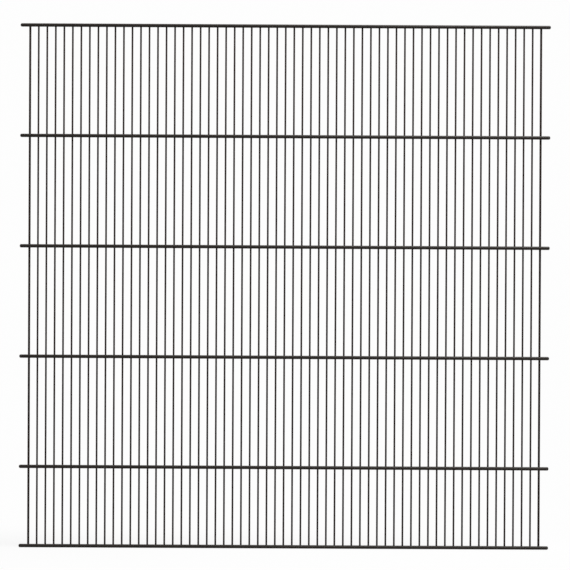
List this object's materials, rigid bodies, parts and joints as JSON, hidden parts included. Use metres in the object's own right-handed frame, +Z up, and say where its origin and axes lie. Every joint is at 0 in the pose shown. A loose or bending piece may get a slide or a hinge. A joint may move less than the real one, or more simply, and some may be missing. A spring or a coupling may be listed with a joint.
{
  "type": "welded mesh fence panel",
  "caption": "Flat welded steel mesh fence panel: close upright wires behind heavier cross rods whose rounded ends stick out at both sides.",
  "frame": {"origin": "cut lower end of the middle wire, on its axis, level with the underside of the bottom rod", "axes": "+X along the rods to the viewer's right, +Y from the rods to the wires, +Z up along the wires"},
  "size_m": [1.244, 0.0129, 1.2302],
  "materials": {
    "coated_steel": "satin near-black powder coat"
  },
  "bodies": {
    "root": {"centre_wire": "coated_steel", "wire_pair_01": "coated_steel", "wire_pair_02": "coated_steel", "wire_pair_03": "coated_steel", "wire_pair_04": "coated_steel", "wire_pair_05": "coated_steel", "wire_pair_06": "coated_steel", "wire_pair_07": "coated_steel", "wire_pair_08": "coated_steel", "wire_pair_09": "coated_steel", "wire_pair_10": "coated_steel", "wire_pair_11": "coated_steel", "wire_pair_12": "coated_steel", "wire_pair_13": "coated_steel", "wire_pair_14": "coated_steel", "wire_pair_15": "coated_steel", "wire_pair_16": "coated_steel", "wire_pair_17": "coated_steel", "wire_pair_18": "coated_steel", "wire_pair_19": "coated_steel", "wire_pair_20": "coated_steel", "wire_pair_21": "coated_steel", "wire_pair_22": "coated_steel", "wire_pair_23": "coated_steel", "wire_pair_24": "coated_steel", "wire_pair_25": "coated_steel", "wire_pair_26": "coated_steel", "wire_pair_27": "coated_steel", "wire_pair_28": "coated_steel", "wire_pair_29": "coated_steel", "edge_wires": "coated_steel", "top_rod": "coated_steel", "middle_rod_1": "coated_steel", "middle_rod_2": "coated_steel", "middle_rod_3": "coated_steel", "middle_rod_4": "coated_steel", "bottom_rod": "coated_steel"}
  },
  "joints": []
}
